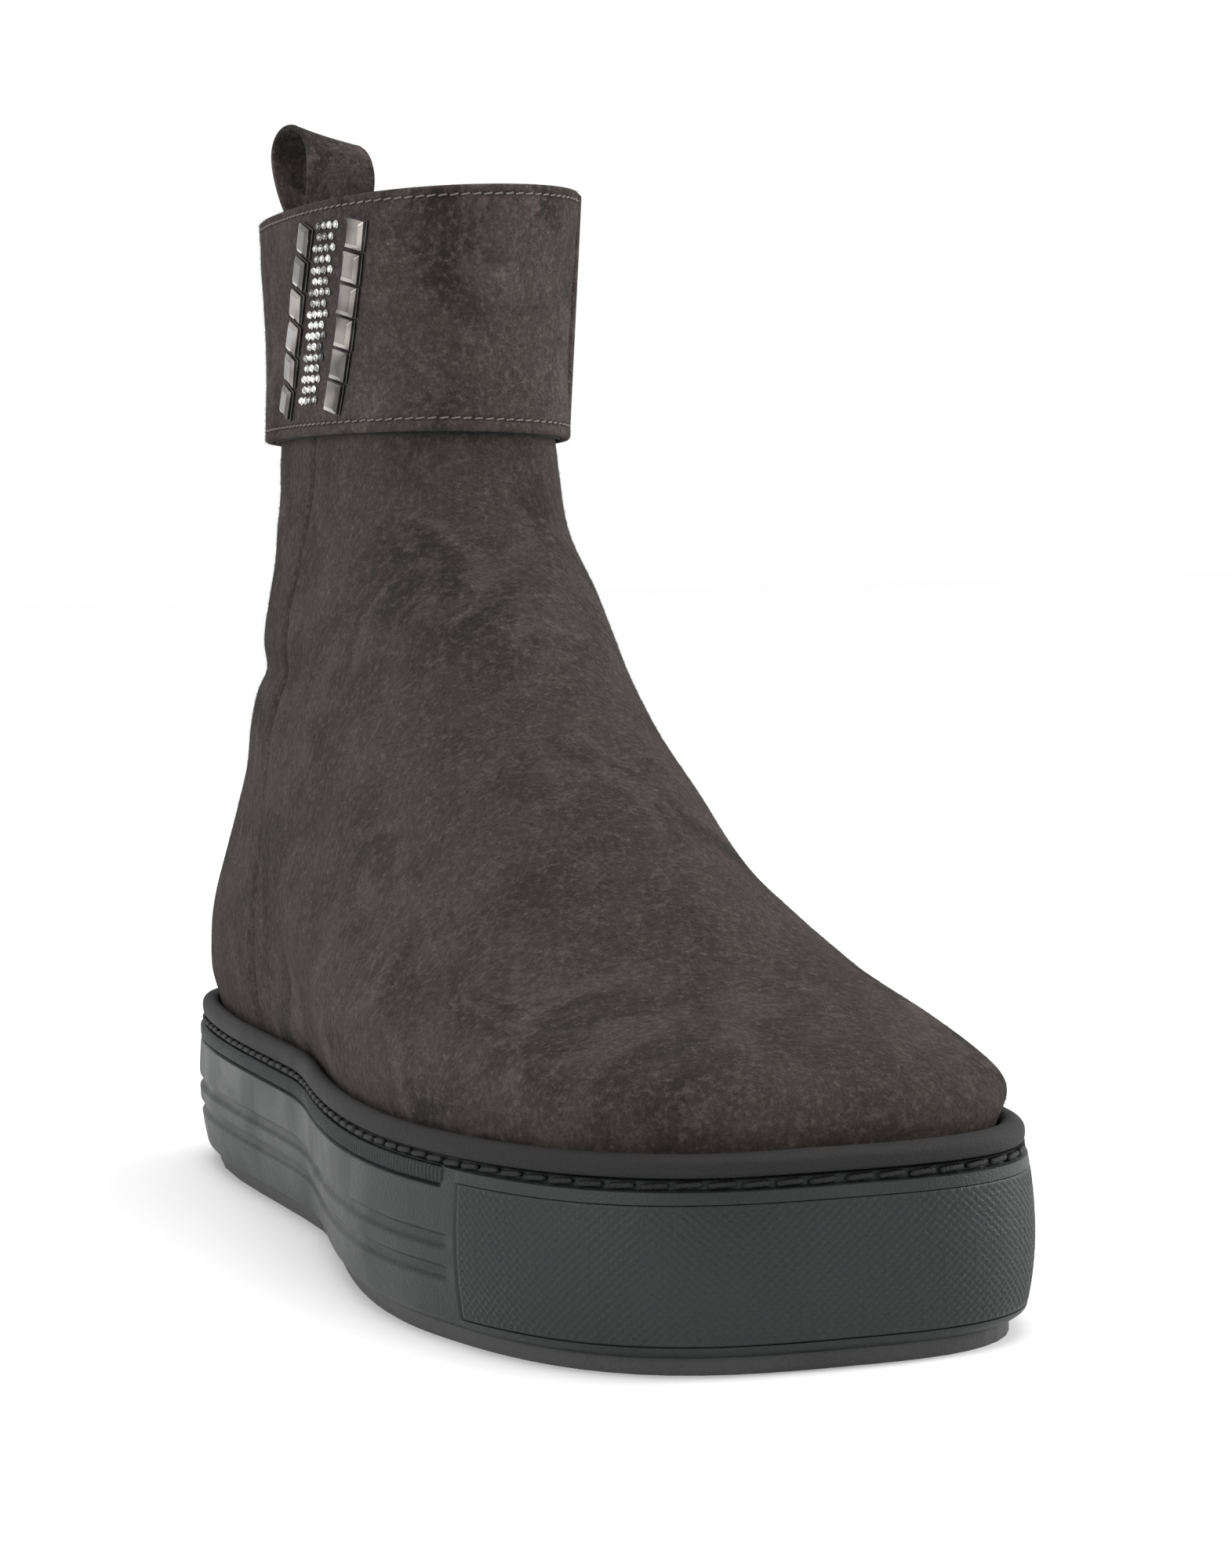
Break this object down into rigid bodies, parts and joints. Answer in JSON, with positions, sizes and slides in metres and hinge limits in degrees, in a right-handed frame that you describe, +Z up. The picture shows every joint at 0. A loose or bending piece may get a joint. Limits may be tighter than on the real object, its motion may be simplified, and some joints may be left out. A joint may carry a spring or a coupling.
{
  "type": "platform ankle boot",
  "caption": "Right-foot suede ankle boot on a thick rubber cup sole, with a wide ankle cuff, stone decoration, a heel pull loop and an inner side zip.",
  "frame": {"origin": "centre of the bounding box on the ground plane", "axes": "+Z up, toe towards -Y, inner side of the foot towards +X"},
  "size_m": [0.1041, 0.2796, 0.2229],
  "materials": {
    "suede": "matte",
    "lining": "matte",
    "rubber": "matte",
    "tread": "matte",
    "thread": "matte",
    "thread_taupe": "matte",
    "foam": "matte",
    "steel": "brushed",
    "board": "matte",
    "stiffener": "matte",
    "stone": "smoky",
    "clear_stone": "clear",
    "hook": "matte",
    "zip_metal": "gunmetal"
  },
  "bodies": {
    "boot": {"outsole_tread": "tread", "sole_cup": "rubber", "rim_lip": "rubber", "welt_stitching": "thread", "side_ribs": "rubber", "toe_panel": "rubber", "foam_core": "foam", "shank": "steel", "insole_board": "board", "footbed": "lining", "vamp": "suede", "quarter": "suede", "heel_counter": "stiffener", "toe_puff": "stiffener", "lining": "lining", "topline_binding": "suede", "cuff_band": "suede", "cuff_pad": "foam", "cuff_stitching": "thread_taupe", "pull_loop": "suede", "stone_bars": "stone", "stone_dots": "clear_stone", "loop_patch": "hook", "zip_base_patch": "suede", "zip_tape_front": "hook", "zip_tape_back": "hook", "zip_teeth": "zip_metal", "zip_stop_low": "zip_metal", "zip_stops_high": "zip_metal"},
    "cuff_flap": {"flap_bead": "suede", "flap_outer": "suede", "flap_lining": "lining", "flap_stitching": "thread_taupe", "hook_patch": "hook"},
    "zip_slider": {"zip_slider": "zip_metal"},
    "zip_puller": {"zip_puller": "zip_metal"}
  },
  "joints": [
    {"name": "cuff_flap_hinge", "type": "hinge", "parent": "boot", "child": "cuff_flap", "pos_m": [0.02547, 0.05049, 0.17772], "axis": [-0.0819, -0.0241, -0.9963], "range_deg": [0, 90]},
    {"name": "zip_slide", "type": "slide", "parent": "boot", "child": "zip_slider", "axis": [0, 0, -1], "range_m": [0, 0.042]},
    {"name": "zip_puller_hinge", "type": "hinge", "parent": "zip_slider", "child": "zip_puller", "pos_m": [0.02631, 0.09456, 0.1436], "axis": [-0.1564, 0.9877, 0], "range_deg": [-100, 0]}
  ]
}
